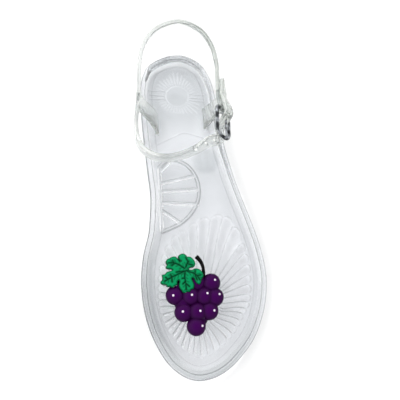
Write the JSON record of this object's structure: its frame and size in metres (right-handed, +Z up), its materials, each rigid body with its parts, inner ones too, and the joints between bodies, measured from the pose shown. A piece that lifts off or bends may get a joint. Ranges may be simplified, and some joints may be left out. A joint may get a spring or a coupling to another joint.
{
  "type": "toe post sandal",
  "caption": "Clear moulded toe post sandal with a relief footbed, an ankle strap on two side tabs, a chrome prong buckle and a grape charm over the toe post.",
  "frame": {"origin": "on the floor, under the middle of the sandal's box", "axes": "+Z up, heel towards +Y, toe towards -Y, outer side of this left shoe towards +X"},
  "size_m": [0.092, 0.249, 0.07],
  "materials": {
    "clear_pvc": "clear soft PVC, moulded, glossy",
    "purple_pvc": "moulded soft PVC, satin gloss",
    "green_pvc": "moulded soft PVC, satin",
    "black_pvc": "moulded soft PVC, satin",
    "chrome": "polished chrome plate"
  },
  "bodies": {
    "root": {"sole": "clear_pvc", "upper": "clear_pvc", "toe_post": "clear_pvc", "grape_cluster": "purple_pvc", "vine_leaf": "green_pvc", "grape_stem": "black_pvc", "buckle_frame": "chrome", "buckle_prong": "chrome"}
  },
  "joints": []
}
